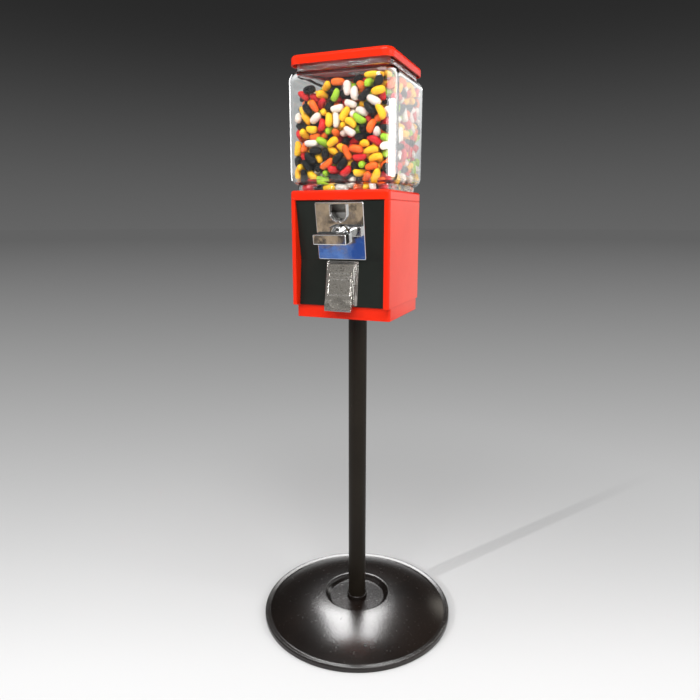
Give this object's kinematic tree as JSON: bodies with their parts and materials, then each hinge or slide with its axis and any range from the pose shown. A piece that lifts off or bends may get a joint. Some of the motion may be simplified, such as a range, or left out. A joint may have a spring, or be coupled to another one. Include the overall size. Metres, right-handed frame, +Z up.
{
  "type": "gumball machine",
  "caption": "Coin-operated candy vendor with a square glass globe of jelly beans, a red cabinet, a turn handle and a hinged chute door, on a round pedestal stand.",
  "frame": {"origin": "on the floor under the middle of the pole", "axes": "+Z is up, -Y is the front with the handle and the chute, +X is to the right seen from the front"},
  "size_m": [0.348, 0.348, 0.9816],
  "materials": {
    "red_enamel": "gloss",
    "black_enamel": "gloss",
    "panel_black": "satin",
    "chrome": "polished",
    "steel": "brushed",
    "brass": "satin",
    "nylon": "matte",
    "glass": "clear",
    "rubber": "matte",
    "candy": "gloss"
  },
  "bodies": {
    "machine": {"base_pan": "red_enamel", "cabinet_shell": "red_enamel", "top_tray": "red_enamel", "stand_base": "black_enamel", "pole": "black_enamel", "pole_foot_collar": "black_enamel", "pole_flange": "black_enamel", "front_panel": "panel_black", "coin_plate": "chrome", "coin_guard": "chrome", "chute_frame": "chrome", "base_lock_nut": "steel", "flange_bolts": "steel", "flange_nuts": "steel", "panel_rivets": "steel", "coin_box": "steel", "pawl_pin": "steel", "pawl_spring": "steel", "mech_frame": "steel", "mech_nuts": "steel", "thrust_washer": "steel", "wiper_plate": "steel", "wiper_rivets": "steel", "inner_chute": "steel", "chute_nuts": "steel", "door_hinge_pin": "steel", "centre_rod": "steel", "rod_nut": "steel", "front_bush": "brass", "rear_bush": "brass", "hopper": "nylon", "globe": "glass", "lower_gasket": "rubber", "jelly_beans": "candy"},
    "lid": {"lid": "red_enamel", "lock_barrel": "chrome", "lock_nut": "steel", "upper_gasket": "rubber"},
    "lock_plug": {"lock_plug": "chrome"},
    "crank": {"handle": "chrome", "handle_pin": "steel", "handle_shaft": "steel", "coin_carrier": "steel", "ratchet_wheel": "steel", "drive_pinion": "brass", "pinion_pin": "steel"},
    "feed_wheel": {"dispensing_wheel": "nylon", "crown_gear": "nylon", "wheel_bush": "brass", "agitator": "steel"},
    "pawl": {"ratchet_pawl": "steel"},
    "door": {"chute_door": "chrome"}
  },
  "joints": [
    {"name": "lid_lift", "type": "slide", "parent": "machine", "child": "lid", "axis": [0, 0, 1], "range_m": [0, 0.08]},
    {"name": "lock_turn", "type": "hinge", "parent": "lid", "child": "lock_plug", "pos_m": [0, 0, 0.978], "axis": [0, 0, 1], "range_deg": [0, 90]},
    {"name": "handle_turn", "type": "hinge", "parent": "machine", "child": "crank", "pos_m": [0, -0.07255, 0.706], "axis": [0, 0.986, 0.1667], "continuous": true},
    {"name": "wheel_turn", "type": "hinge", "parent": "machine", "child": "feed_wheel", "pos_m": [0, 0, 0.72], "axis": [0, 0, 1], "continuous": true},
    {"name": "pawl_drop", "type": "hinge", "parent": "machine", "child": "pawl", "pos_m": [-0.0222, -0.06677, 0.72584], "axis": [0, -0.986, -0.1667], "range_deg": [-8, 0]},
    {"name": "door_swing", "type": "hinge", "parent": "machine", "child": "door", "pos_m": [0, -0.07138, 0.65648], "axis": [-1, 0, 0], "range_deg": [0, 75]}
  ],
  "couplings": [
    {"joint": "wheel_turn", "follows": "handle_turn", "ratio": 0.16667}
  ]
}
